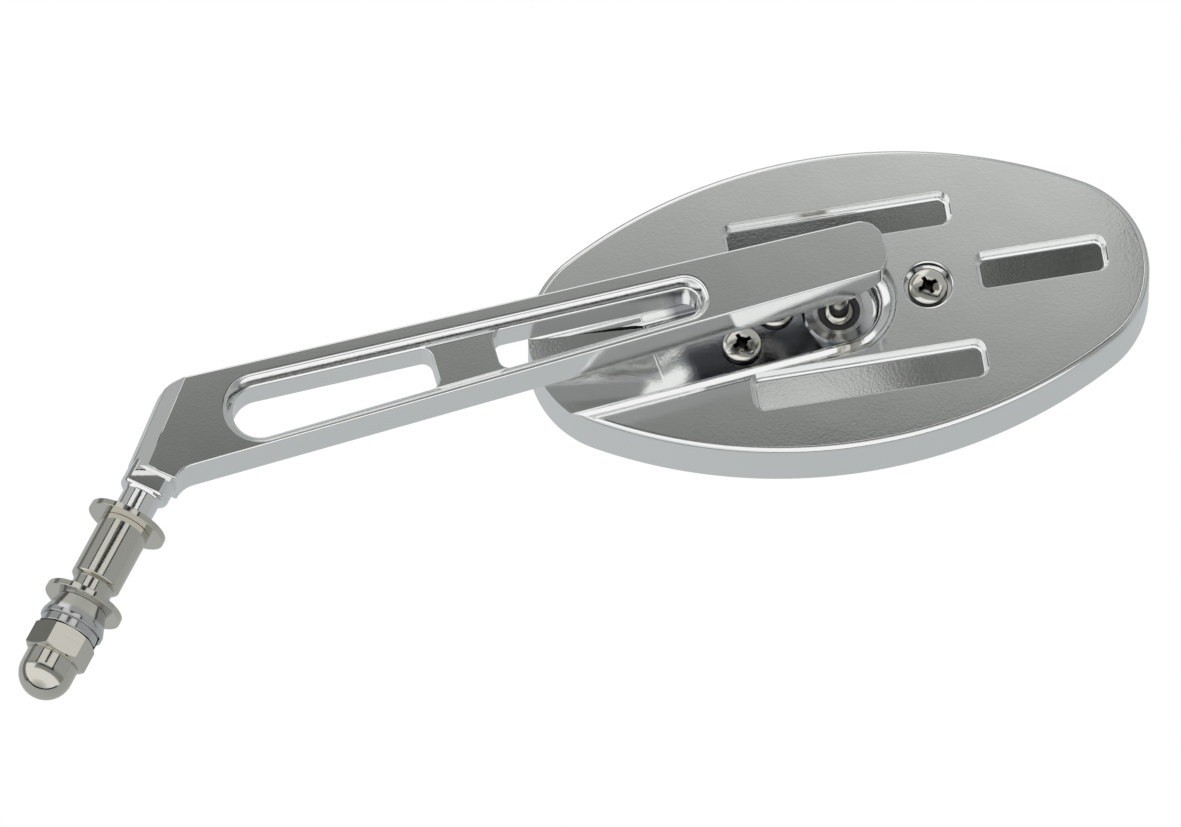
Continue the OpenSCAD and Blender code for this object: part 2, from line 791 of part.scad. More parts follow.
module lock_washer() {
  color(zinc) difference() {
    ring(lock_z, lock_dia, lock_t);
    translate([0, -lock_split / 2, nut_z - 1]) rotate([20, 0, 0])
      cube([lock_dia, lock_split, lock_t + 3]);
  }
}

module acorn_nut() {
  corner_r = nut_af / cos(30) / 2;
  chamfer = 0.8;
  bottom = nut_z - nut_hex_h;
  color(nickel) difference() {
    union() {
      intersection() {
        translate([0, 0, bottom]) rotate(15) cylinder(r = corner_r, h = nut_hex_h, $fn = 6);
        rotate_extrude() polygon([
          [0, nut_z], [nut_af / 2, nut_z], [corner_r + 0.1, nut_z - chamfer],
          [corner_r + 0.1, bottom + chamfer], [nut_af / 2 - 0.2, bottom], [0, bottom]
        ]);
      }
      translate([0, 0, bottom - dome_l]) cylinder(r = dome_r, h = dome_l + eps);
      translate([0, 0, bottom - dome_l]) sphere(r = dome_r);
    }
    translate([0, 0, nut_z - nut_bore_l]) cylinder(d = stud_dia + 2 * slide_gap, h = nut_bore_l + 1);
  }
}

arm();
ball_stud();
stud_grub_screw();
mounting_stud();
upper_washer();
spacer_sleeve();
lower_washer();
bevel_collar();
lock_washer();
acorn_nut();
ball_liner();
pressure_cup();
head_shell();
socket_plate();
screw_outer();
screw_channel_low();
screw_channel_high();
backing_pad();
glass_seal();
mirror_glass();
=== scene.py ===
"""Motorcycle mirror with a slotted arm: its chromed, plated and moulded pieces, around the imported
frame.

Lengths are in millimetres in the shape functions and become metres when a piece is placed.
"""
import math

import bmesh
import bpy
from mathutils import Matrix, Vector


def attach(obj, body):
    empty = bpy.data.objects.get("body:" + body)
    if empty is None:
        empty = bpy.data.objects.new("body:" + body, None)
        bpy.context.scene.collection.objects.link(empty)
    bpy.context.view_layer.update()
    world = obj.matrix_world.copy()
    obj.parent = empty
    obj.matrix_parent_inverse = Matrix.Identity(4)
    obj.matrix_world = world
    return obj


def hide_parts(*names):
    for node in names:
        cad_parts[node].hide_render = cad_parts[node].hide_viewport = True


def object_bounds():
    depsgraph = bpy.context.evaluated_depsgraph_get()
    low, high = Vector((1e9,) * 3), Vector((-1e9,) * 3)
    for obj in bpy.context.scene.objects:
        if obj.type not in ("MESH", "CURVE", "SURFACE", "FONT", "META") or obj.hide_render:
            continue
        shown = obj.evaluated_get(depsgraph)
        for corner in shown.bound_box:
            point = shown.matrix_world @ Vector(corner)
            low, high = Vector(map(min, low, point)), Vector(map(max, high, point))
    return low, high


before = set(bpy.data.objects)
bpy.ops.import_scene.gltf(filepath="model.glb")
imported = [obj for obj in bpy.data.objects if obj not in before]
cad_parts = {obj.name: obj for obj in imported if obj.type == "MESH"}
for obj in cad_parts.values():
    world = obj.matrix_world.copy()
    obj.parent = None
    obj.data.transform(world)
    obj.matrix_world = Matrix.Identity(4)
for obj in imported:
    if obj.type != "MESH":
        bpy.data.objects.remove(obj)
CAD_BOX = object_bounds()

MM = 0.001

# Arm, as the solids have it
ARM_ANGLE = math.radians(42.0)
ARM_REACH = 167.4
ARM_T = 13.0
ARM_W0 = 20.8
ARM_W1 = 11.7
ARM_TIP = 11.6
ARM_CREST = 2.4
ARM_LEN = ARM_REACH + ARM_TIP
ARM_FILLET = 0.5
SCOOP_L = 11.4
KNEE_Z = 25.4
KNEE_CORNER_Z = KNEE_Z + 7.6
KNEE_LEAN = 1.6
KNEE_BEVEL = 4.1
KNEE_SIDE_W = 1.2
KNEE_FLAT_D = 3.3
KNEE_SIDE_D = 6.0
FOOT_W = 13.0
FOOT_Z = 14.1
BOSS_Z = 9.0
BOSS_R = 6.25
BOSS_EDGE = 1.2
BOSS_FLAT = 0.1 + 1.6 - ARM_T / 2
SPIGOT_R = 4.75
GROOVE_X0 = 13.4
GROOVE_X1 = ARM_REACH - 33.6
GROOVE_RIM = 1.5
GROOVE_SLOPE = 1.5
GROOVE_D = 3.0
GROOVE_LIP = 0.7
SLOT_INSET = GROOVE_RIM + GROOVE_SLOPE + 0.3
SLOT_CORNER = 2.6
WEB_X0 = ARM_REACH - 93.9 - 7.6
WEB_X1 = ARM_REACH - 93.9 + 7.6

# Stem stack: radii, and heights from the lug's top face down
STEM_HOLE_R = 4.2
WASHER_R = 10
WASHER_T = 1.6
SLEEVE_R = 6.3
SLEEVE_Z = -16.3
NOSE_R = 5.1
NOSE_Z = -21.7
COLLAR_Z = -23.3
LOCK_Z = -29.5
NUT_Z = -31.7

# Ball stud and the screw that locks it
BALL_R = 4.5
NECK_R = 2.5
SHOULDER_R = 4.8
SHANK_R = 3.5
GRUB_R = 2.0

# Head; EDGE_R is tighter than in the solids, for the narrow bright rim
HEAD_GAP = 13.0
HEAD_TILT = math.radians(36.1)
HEAD_L = 152.4
HEAD_W = 77.5
HEAD_D = 17.0
HEAD_END_R = 25.0
EDGE_R = 1.6
SHELL_WALL = 2.2
LEDGE_W = 3.4
LEDGE_DEPTH = 13.2
CHANNEL_W = 20.0
CHANNEL_D = 7.3
CHANNEL_LIP = 3.3
RAMP_START = 38.0
RAMP_BEND = 10.0
RAMP_END_D = 1.2
POCKET_D = 3.2
POCKET_R = 2.9
BALL_DEPTH = 9.2
PLATE_DEPTH = 11.2
SEAT_R = 7.15
SEAT_DIA = 18.0
SEAT_DEPTH = 6.0
RECESS_R = 5.8
GLASS_INSET = 0.4
GLASS_T = 2.5
SEAL_W = 1.0

# Pockets in the head's back: outer end along the oval, place across it, length, width
POCKETS = (
    (31, 20, 56.3, 9),
    (33, -20.5, 58, 10.1),
    (66.5, 2, 32.5, 9.8),
)

# Screws in the head: place along and across the oval, and the depth of the seat under the head
SCREWS = {
    "screw_outer": (22.0, 0.5, 2.6),
    "screw_channel_low": (-24.7, -4.8, CHANNEL_D),
    "screw_channel_high": (-15.4, 3.0, CHANNEL_D),
}

UP_TO_FACE = Matrix.Rotation(math.pi / 2, 4, "X")
BALL = Vector((ARM_REACH * math.cos(ARM_ANGLE), 0.0, KNEE_Z + ARM_REACH * math.sin(ARM_ANGLE)))
HEAD_Y = ARM_T / 2 + HEAD_GAP
STEM = Matrix.Identity(4)
ARM_FLAT = UP_TO_FACE
ARM = Matrix.Translation((0, 0, KNEE_Z)) @ Matrix.Rotation(-ARM_ANGLE, 4, "Y") @ UP_TO_FACE
GRUB = ARM @ Matrix.Translation((ARM_REACH, 0, -0.25)) @ Matrix.Rotation(-math.pi / 2, 4, "X")
HEAD = (
    Matrix.Translation(BALL + Vector((0, HEAD_Y, 0)))
    @ Matrix.Rotation(-HEAD_TILT, 4, "Y") @ UP_TO_FACE
)


# Colour and node helpers

def rgb(hex_code):
    """A colour written as sRGB hex, as linear red, green, blue and alpha."""
    parts = [int(hex_code[i:i + 2], 16) / 255 for i in (1, 3, 5)]
    return [c / 12.92 if c <= 0.04045 else ((c + 0.055) / 1.055) ** 2.4 for c in parts] + [1.0]


def add(tree, kind, settings=None, **inputs):
    """A new node. Settings are its properties; inputs are its sockets by name, or by number as in
    i0, and each takes a value or another node's output."""
    node = tree.nodes.new(kind)
    for key, value in (settings or {}).items():
        setattr(node, key, value)
    for key, value in inputs.items():
        by_number = key[0] == "i" and key[1:].isdigit()
        socket = node.inputs[int(key[1:]) if by_number else key.replace("_", " ")]
        if isinstance(value, bpy.types.NodeSocket):
            tree.links.new(value, socket)
        else:
            socket.default_value = value
    return node


def material(name, **principled):
    """A material with one Principled shader; returns the material, its tree and the shader."""
    mat = bpy.data.materials.new(name)
    mat.use_nodes = True
    tree = mat.node_tree
    shader = tree.nodes["Principled BSDF"]
    for key, value in principled.items():
        shader.inputs[key.replace("_", " ")].default_value = value
    return mat, tree, shader


def grain_of(tree, scale_mm, detail=3.0, stretch=(1, 1, 1)):
    """A pattern whose grain is scale_mm across, in the part's own frame."""
    place = add(tree, "ShaderNodeTexCoord").outputs["Object"]
    turn = add(tree, "ShaderNodeMapping", Vector=place, Scale=stretch).outputs[0]
    noise = add(tree, "ShaderNodeTexNoise", Vector=turn, Scale=1 / (scale_mm * MM), Detail=detail)
    return noise.outputs[0]


def window(tree, source, low, high, soft_low, soft_high):
    """1 between low and high, falling to 0 over the soft widths outside."""
    ends = ((low - soft_low, low), (high + soft_high, high))
    rise, fall = (add(tree, "ShaderNodeMapRange", Value=source, From_Min=start, From_Max=end)
                  for start, end in ends)
    return add(tree, "ShaderNodeMath", {"operation": "MULTIPLY"},
               i0=rise.outputs[0], i1=fall.outputs[0]).outputs[0]


def paint(tree, under, over, *reaches):
    """One colour painted over another where every value lies in its window. The colours are hex or
    a node's output; a reach is a value, low, high, and the soft widths at both."""
    share = 1.0
    for source, *reach in reaches:
        share = add(tree, "ShaderNodeMath", {"operation": "MULTIPLY"},
                    i0=share, i1=window(tree, source, *reach)).outputs[0]
    under, over = (rgb(tone) if isinstance(tone, str) else tone for tone in (under, over))
    return add(tree, "ShaderNodeMix", {"data_type": "RGBA"}, i0=share, i6=under, i7=over).outputs[2]


def shades(tree, source, start, end, stops):
    """Colours that follow a value from start to end, from (position, hex colour) pairs."""
    level = add(tree, "ShaderNodeMapRange", Value=source, From_Min=start, From_Max=end)
    ramp = add(tree, "ShaderNodeValToRGB", Fac=level.outputs[0])
    points = ramp.color_ramp.elements
    points[0].position, points[0].color = stops[0][0], rgb(stops[0][1])
    points[1].position, points[1].color = stops[-1][0], rgb(stops[-1][1])
    for position, colour in stops[1:-1]:
        points.new(position).color = rgb(colour)
    return ramp.outputs[0]


def places_along(tree, source, *ways):
    """How far a vector reaches along each of some directions."""
    return [add(tree, "ShaderNodeVectorMath", {"operation": "DOT_PRODUCT"},
                i0=source, i1=way).outputs["Value"] for way in ways]


def follow(tree, shader, pattern, rough=None, height_mm=0.0, strength=1.0):
    """Makes a surface follow a pattern: its roughness between two values, and a bump that is
    height_mm from its valleys to its tops."""
    if rough:
        level = add(tree, "ShaderNodeMapRange", Value=pattern, From_Min=0.3, From_Max=0.7,
                    To_Min=rough[0], To_Max=rough[1])
        tree.links.new(level.outputs[0], shader.inputs["Roughness"])
    if height_mm:
        bump = add(tree, "ShaderNodeBump", Height=pattern, Distance=height_mm * MM,
                   Strength=strength)
        tree.links.new(bump.outputs[0], shader.inputs["Normal"])


# Materials

def polished_chrome():
    """Decorative chrome plate on polished die-cast zinc: near-mirror, with a faint polishing wave.
    Down in the head's channel its colour is painted dark, as painted shade under the arm."""
    mat, tree, shader = material("polished_chrome_plate", Base_Color=rgb("#F2F3F2"), Metallic=1.0)
    wave = grain_of(tree, 16.0, 1.0)
    follow(tree, shader, wave, (0.06, 0.10))
    both = add(tree, "ShaderNodeMath", {"operation": "MULTIPLY_ADD"},
               i0=grain_of(tree, 0.6), i1=0.2, i2=wave)
    follow(tree, shader, both.outputs[0], None, 0.05)

    # Place in mm along the arm, across it, and from the arm's middle into the head
    place = add(tree, "ShaderNodeTexCoord").outputs["Object"]
    c, s = math.cos(ARM_ANGLE) / MM, math.sin(ARM_ANGLE) / MM
    run, across, depth = places_along(tree, place, (c, 0, s), (-s, 0, c), (0, 1 / MM, 0))
    ball_run = ARM_REACH + KNEE_Z * math.sin(ARM_ANGLE)
    ball_across = KNEE_Z * math.cos(ARM_ANGLE)
    half = CHANNEL_W / 2 + 1
    # Painted shade: the chrome's colour turns dull grey on the channel's floor, where the arm
    # shades it
    plate = paint(tree, "#F2F3F2", "#94969A",
                  (run, ball_run - RAMP_START, ball_run + 4, 3, 3),
                  (across, ball_across - half, ball_across + half, 1, 1),
                  (depth, HEAD_Y + 6.4, HEAD_Y + 8.4, 1.6, 0.1))
    tree.links.new(plate, shader.inputs["Base Color"])
    return mat


def bright_nickel():
    """Nickel plate on turned steel: warmer than chrome, with fine rings left by the lathe."""
    mat, tree, shader = material("bright_nickel_plate", Base_Color=rgb("#D3D1C8"), Metallic=1.0)
    rings = grain_of(tree, 1.2, stretch=(0.15, 0.15, 4.0))
    follow(tree, shader, rings, (0.06, 0.14), 0.01, 0.5)
    return mat


def screw_nickel(recess_shade_from):
    """Nickel plate on a screw: a bright top, with painted shade past a depth along Y, in the cross
    recess and round the head's edge down in its seat."""
    mat, tree, shader = material("nickel_plated_screw", Metallic=1.0)
    place = add(tree, "ShaderNodeTexCoord").outputs["Object"]
    depth, = places_along(tree, place, (0, 1 / MM, 0))
    fade = 0.35
    # Painted shade: the colour turns dark below the screw's top, in the cross and its seat
    plate = paint(tree, "#E4E2DA", "#2B2A28", (depth, recess_shade_from + fade, HEAD_Y + HEAD_D, fade, 1))
    tree.links.new(plate, shader.inputs["Base Color"])
    follow(tree, shader, grain_of(tree, 0.8), (0.08, 0.16), 0.006, 0.6)
    return mat


def bright_zinc():
    """Clear zinc plate on steel: cooler and a little duller, with a fine crystalline grain."""
    mat, tree, shader = material("bright_zinc_plate", Base_Color=rgb("#CDCECE"), Metallic=1.0)
    follow(tree, shader, grain_of(tree, 0.6, 5.0), (0.10, 0.20), 0.006, 0.5)
    return mat


def moulded_nylon():
    """Black nylon, moulded: low sheen, slightly mottled."""
    mat, tree, shader = material("moulded_black_nylon", Base_Color=rgb("#26262A"), IOR=1.53)
    follow(tree, shader, grain_of(tree, 1.0), (0.38, 0.52))
    return mat


def moulded_rubber():
    """Black rubber: matt, with a grain too fine to see that is drawn at half a millimetre."""
    mat, tree, shader = material("moulded_black_rubber", Base_Color=rgb("#1B1B1C"), IOR=1.52)
    follow(tree, shader, grain_of(tree, 0.5, 4.0), (0.6, 0.8), 0.03, 0.4)
    return mat


def closed_cell_foam():
    """Black closed-cell foam: dull, pitted at about a millimetre."""
    mat, tree, shader = material("closed_cell_foam", Base_Color=rgb("#202022"), Roughness=0.95)
    follow(tree, shader, grain_of(tree, 1.0, 2.0), None, 0.15, 0.8)
    return mat


def silvered_glass():
    """Silvered float glass: a clean mirror, very slightly green and wavy."""
    mat, tree, shader = material("silvered_float_glass", Base_Color=rgb("#DDE6E4"), Metallic=1.0)
    follow(tree, shader, grain_of(tree, 30.0), (0.008, 0.02))
    return mat


CHROME = polished_chrome()
NICKEL = bright_nickel()
ZINC = bright_zinc()
NYLON = moulded_nylon()
RUBBER = moulded_rubber()
FOAM = closed_cell_foam()
MIRROR = silvered_glass()


# Shape helpers

def outline_corners(corners, grow=0.0, step=8.0):
    """A convex anticlockwise outline through round corners (x, y, radius), grown outwards."""
    def side_angle(a, b):
        dx, dy = b[0] - a[0], b[1] - a[1]
        return math.atan2(dy, dx) - math.pi / 2 + math.asin((a[2] - b[2]) / math.hypot(dx, dy))

    points = []
    for i, (x, y, r) in enumerate(corners):
        start = side_angle(corners[i - 1], corners[i])
        turn = (side_angle(corners[i], corners[(i + 1) % len(corners)]) - start) % math.tau
        steps = max(1, round(math.degrees(turn) / step))
        for k in range(steps + 1):
            a = start + turn * k / steps
            points.append((x + (r + grow) * math.cos(a), y + (r + grow) * math.sin(a)))
    return points


def rectangle(x_end, y, length, width, r):
    """The round corners of a rectangle that runs back from x_end."""
    x0, x1 = x_end - length + r, x_end - r
    y0, y1 = y - width / 2 + r, y + width / 2 - r
    return [(x0, y0, r), (x1, y0, r), (x1, y1, r), (x0, y1, r)]


def oval(grow=0.0, step=2.5):
    """The head's outline: four arcs that meet smoothly."""
    half_l, half_w, r = HEAD_L / 2, HEAD_W / 2, HEAD_END_R
    end_x = half_l - r
    flank_r = (end_x ** 2 + half_w ** 2 - r ** 2) / (2 * (half_w - r))
    flank_y = flank_r - half_w
    flank_a = math.atan2(end_x, flank_y)
    arcs = [
        (end_x, 0, r, flank_a - math.pi / 2, math.pi - 2 * flank_a),
        (0, -flank_y, flank_r, math.pi / 2 - flank_a, 2 * flank_a),
        (-end_x, 0, r, math.pi / 2 + flank_a, math.pi - 2 * flank_a),
        (0, flank_y, flank_r, -math.pi / 2 - flank_a, 2 * flank_a),
    ]
    points = []
    for x, y, radius, start, turn in arcs:
        steps = round(math.degrees(turn) / step * (1.0 if radius < 50 else 2.2))
        for k in range(steps):
            a = start + turn * k / steps
            points.append((x + (radius + grow) * math.cos(a), y + (radius + grow) * math.sin(a)))
    return points


def ring_edges(bm, points, z):
    """The closed loop of edges through an outline's points at one height."""
    verts = [bm.verts.new((x, y, z)) for x, y in points]
    return [bm.edges.new((verts[i - 1], verts[i])) for i in range(len(verts))]


def loft(levels):
    """A closed solid through level outlines, each (points, height), in order."""
    bm = bmesh.new()
    rings = [ring_edges(bm, points, z) for points, z in levels]
    for low, high in zip(rings, rings[1:]):
        bmesh.ops.bridge_loops(bm, edges=low + high)
    bmesh.ops.contextual_create(bm, geom=rings[0])
    bmesh.ops.contextual_create(bm, geom=rings[-1])
    bmesh.ops.recalc_face_normals(bm, faces=bm.faces)
    return bm


def turned(profile, steps=96, turn=math.tau):
    """A solid of revolution about z from points (radius, height) that start and end on the axis or
    close on themselves."""
    bm = bmesh.new()
    verts = [bm.verts.new((r, 0, z)) for r, z in profile]
    edges = [bm.edges.new(pair) for pair in zip(verts, verts[1:])]
    if profile[0][0] > 0:
        edges.append(bm.edges.new((verts[-1], verts[0])))
    bmesh.ops.spin(bm, geom=verts + edges, axis=(0, 0, 1), cent=(0, 0, 0), angle=turn, steps=steps,
                   use_merge=True)
    bmesh.ops.remove_doubles(bm, verts=bm.verts, dist=1e-4)
    bmesh.ops.recalc_face_normals(bm, faces=bm.faces)
    return bm


def rounded(profile, r, steps=4):
    """A closed profile with its corners rounded by r; nearly straight ones stay as they are."""
    out = []
    n = len(profile)
    for i, p in enumerate(profile):
        a, b, c = Vector(profile[i - 1]), Vector(p), Vector(profile[(i + 1) % n])
        u, v = (a - b), (c - b)
        reach = min(r, u.length * 0.45, v.length * 0.45)
        if abs(u.angle(v) - math.pi) < math.radians(12):
            out.append(p)
            continue
        start, end = b + u.normalized() * reach, b + v.normalized() * reach
        for k in range(steps + 1):
            t = k / steps
            q = start * (1 - t) ** 2 + b * 2 * t * (1 - t) + end * t ** 2
            out.append((q.x, q.y))
    return out


def mesh_object(name, bm, place):
    """An object at the origin with the shape placed in its mesh, in metres."""
    bm.transform(Matrix.Scale(MM, 4) @ place)
    mesh = bpy.data.meshes.new(name)
    bm.to_mesh(mesh)
    bm.free()
    obj = bpy.data.objects.new(name, mesh)
    bpy.context.scene.collection.objects.link(obj)
    return obj


def carve(obj, operation, shape, place=None):
    """Cuts a shape out of a piece, or joins one to it, for good; the shape is a bmesh to be placed,
    or an object when no place is given."""
    tool = mesh_object("tool", shape, place) if place else shape
    mod = obj.modifiers.new("carve", "BOOLEAN")
    mod.operation = operation
    mod.solver = "EXACT"
    mod.object = tool
    bpy.context.view_layer.update()
    graph = bpy.context.evaluated_depsgraph_get()
    result = bpy.data.meshes.new_from_object(obj.evaluated_get(graph))
    obj.modifiers.clear()
    obj.data = result
    bpy.data.objects.remove(tool)


def finish_piece(obj, mat, body, nodes, crease=35.0):
    """Cleans a piece, shades it smooth between creases, gives it its material and body, and hides
    the nodes it stands for.
    """
    bm = bmesh.new()
    bm.from_mesh(obj.data)
    bmesh.ops.remove_doubles(bm, verts=bm.verts, dist=2e-6)
    bmesh.ops.dissolve_degenerate(bm, edges=bm.edges, dist=2e-6)
    for face in bm.faces:
        face.smooth = True
        face.material_index = 0
    for edge in bm.edges:
        edge.smooth = len(edge.link_faces) == 2 and edge.calc_face_angle(0) < math.radians(crease)
    bm.to_mesh(obj.data)
    bm.free()
    obj.data.materials.clear()
    obj.data.materials.append(mat)
    weighted = obj.modifiers.new("even shading", "WEIGHTED_NORMAL")
    weighted.keep_sharp = True
    weighted.weight = 100
    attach(obj, body)
    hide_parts(*nodes)
    return obj


# Arm

def arm_half(x):
    """Half of the arm's width at a distance along it, without the crest."""
    return (ARM_W0 + (ARM_W1 - ARM_W0) * x / ARM_LEN) / 2


def from_arm(x, y):
    """A point along and across the arm, in the plane of the arm and the stem."""
    c, s = math.cos(ARM_ANGLE), math.sin(ARM_ANGLE)
    return (x * c - y * s, KNEE_Z + x * s + y * c)


def edge_at(x, side):
    """Distance along the arm at which its upper (1) or lower (-1) edge meets a vertical line."""
    half = ARM_W0 / 2 + (ARM_CREST if side > 0 else 0.0)
    return (x + side * half * math.sin(ARM_ANGLE)) / math.cos(ARM_ANGLE)


def fillet_levels(t, r, steps=6):
    """Heights and insets of a slab of thickness t with round edges of radius r."""
    turns = [math.pi / 2 * k / steps for k in range(steps + 1)]
    low = [(-t / 2 + r - r * math.sin(a), -r * (1 - math.cos(a))) for a in reversed(turns)]
    high = [(t / 2 - r + r * math.sin(a), -r * (1 - math.cos(a))) for a in turns]
    return low + high


def round_end(x, out, inset):
    """One round end of a groove or slot, as a corner whose arc fills the width there."""
    r = arm_half(x) - inset
    return [(x - out * r, 0, r)]


def web_end(x, out):
    """The two corners of a slot's end at the web."""
    across = arm_half(x) - SLOT_INSET - SLOT_CORNER
    middle = x - out * SLOT_CORNER
    return [(middle, -out * across, SLOT_CORNER), (middle, out * across, SLOT_CORNER)]


def flared_cut(corners, floor, top, slope, lip, foot=0.0, tilt=0.0, flare=1.0):
    """A cutter from a floor up to a face: a round foot, a sloping wall, and a lip that flares out
    at the face. With a tilt the floor leans across the cut, about its middle."""
    levels = []
    if foot:
        for a in (90, 60, 30):
            t = math.radians(a)
            levels.append((floor + foot * (1 - math.sin(t)), -slope - foot * (1 - math.cos(t))))
    else:
        levels.append((floor, -slope))
    depth = top - floor
    levels.append((floor + max(foot, 0.01 * depth), -slope))
    levels.append((top - lip, -slope * lip / depth))
    for a in (15, 30, 45, 60, 70) if lip < 1 else (15, 30, 45, 60, 70, 80):
        t = math.radians(a)
        levels.append((top - lip + lip * math.sin(t), flare * lip * (1 - math.cos(t))))
    # The last level at the face leaves a soft start, and one above it clears the face
    last_z, last_grow = levels[-1]
    levels.append((top, last_grow + min(0.4, (top - last_z) * 9)))
    levels.append((top + 0.4, levels[-1][1] + 4.0))
    bm = loft([(outline_corners(corners, grow), z) for z, grow in levels])
    middle = sum(c[1] for c in corners) / len(corners)
    for vert in bm.verts:
        if vert.co.z < top - lip:
            share = (top - lip - vert.co.z) / (top - lip - floor)
            vert.co.z += tilt * (vert.co.y - middle) * share
    return bm


def rounded_outline(corners, inset):
    """An outline given as (point, corner radius), moved inwards with its corners rounded."""
    n = len(corners)
    moved = []
    for i in range(n):
        a, b, c = (Vector(corners[(i + k) % n][0]) for k in (-1, 0, 1))
        u, v = (b - a).normalized(), (c - b).normalized()
        nu, nv = Vector((-u.y, u.x)), Vector((-v.y, v.x))
        moved.append(b + (nu + nv) * (inset / (1 + nu.dot(nv))))
    points = []
    for i in range(n):
        r = corners[i][1]
        a, b, c = moved[i - 1], moved[i], moved[(i + 1) % n]
        start = b + (a - b).normalized() * r
        end = b + (c - b).normalized() * r
        for k in range(9):
            t = k / 8
            q = start * (1 - t) ** 2 + b * 2 * t * (1 - t) + end * t ** 2
            points.append((q.x, q.y))
    return points


def prism(points, low, high):
    """A straight prism through an outline."""
    return loft([(points, low), (points, high)])


def arm_slab():
    """The arm's body: one outline from the knee's inner corner round the tip and down to the
    foot, each corner with its radius."""
    left = -FOOT_W / 2
    knee_in, knee_out = edge_at(-left, -1), edge_at(left, 1)
    low, high = -arm_half(ARM_LEN), arm_half(ARM_LEN) + ARM_CREST
    corners = [
        (from_arm(knee_in, -arm_half(knee_in)), 3.0),
        (from_arm(ARM_LEN - 2.6, low), 1.2),
        (from_arm(ARM_LEN, low + 3.6), 1.2),
        (from_arm(ARM_LEN, high - 4.0), 0.9),
        (from_arm(ARM_LEN - 1.6, high - 1.4), 0.6),
        (from_arm(ARM_LEN - 4.0, high), 0.9),
        (from_arm(knee_out, arm_half(knee_out) + ARM_CREST), 1.3),
        ((left - KNEE_LEAN, KNEE_CORNER_Z), 1.3),
        ((left, FOOT_Z), 0.6),
        ((-left, FOOT_Z), 0.6),
    ]
    levels = fillet_levels(ARM_T, ARM_FILLET)
    return loft([(rounded_outline(corners, -grow), z) for z, grow in levels])


def knee_flats():
    """What the two flats down the knee's left side take off, with a soft edge between them."""
    left, front = -FOOT_W / 2, -ARM_T / 2
    lean = math.atan2(KNEE_LEAN, KNEE_CORNER_Z - FOOT_Z)
    face = Vector((left + KNEE_SIDE_W + KNEE_BEVEL, front))
    middle = Vector((left + KNEE_SIDE_W, front + KNEE_FLAT_D))
    side = Vector((left, front + KNEE_SIDE_D))
    # Each of the three bends is two or three points instead of one; the rest clears the arm
    points = [face + Vector((0.5, -0.2)) * 3, face + Vector((0.5, -0.2)),
              face - Vector((0.45, -0.3))]
    points += [middle + (face - middle).normalized() * 0.5, middle + Vector((-0.05, 0.02)),
               middle + (side - middle).normalized() * 0.5]
    points += [side + (middle - side).normalized() * 0.6, side + Vector((-0.1, 0.8)),
               side + Vector((-1.5, 5.0)), Vector((left - 6, front + 11)),
               Vector((left - 6, front - 1))]
    bm = prism([tuple(p) for p in points], -5, 45)
    bm.transform(Matrix.Translation((0, 0, FOOT_Z)) @ Matrix.Rotation(-lean, 4, "Y"))
    return bm


def foot_boss():
    """The round boss under the foot, cut flat at the arm's grooved face, with its lower edge
    rounded."""
    turn = math.asin(-BOSS_FLAT / BOSS_R)

    def plan(r):
        angles = [-turn + (math.pi + 2 * turn) * k / 40 for k in range(41)]
        keep = BOSS_FLAT + (BOSS_R - r)
        return [(r * math.cos(a), max(r * math.sin(a), keep)) for a in angles]

    steps = [(BOSS_Z + BOSS_EDGE * (1 - math.sin(a)), BOSS_R - BOSS_EDGE * (1 - math.cos(a)))
             for a in [math.pi / 2 * k / 5 for k in range(5, -1, -1)]]
    return loft([(plan(r), z) for z, r in steps] + [(plan(BOSS_R), FOOT_Z + 1.5)])


def tip_scoop():
    """The hollow under the tip, as a prism across the arm: its curve, then what clears the tip."""
    back = -ARM_T / 2
    bends = [(-SCOOP_L - 1.5, back - 0.4), (-SCOOP_L, back + 0.05), (-10.0, back + 0.65),
             (-8.6, back + 1.45), (-7.0, back + 2.5), (-5.3, back + 3.8), (-3.7, back + 5.3),
             (-2.3, back + 6.9), (-1.3, back + 8.3), (-0.5, back + 9.8), (1.0, back + 12.4)]
    points = [(ARM_LEN + x, z) for x, z in bends]
    points += [(ARM_LEN + 3, back + 12.4), (ARM_LEN + 3, back - 1.5),
               (ARM_LEN - SCOOP_L - 1.5, back - 1.5)]
    bm = prism(points, -ARM_W0, ARM_W0)
    bm.transform(UP_TO_FACE)
    return bm


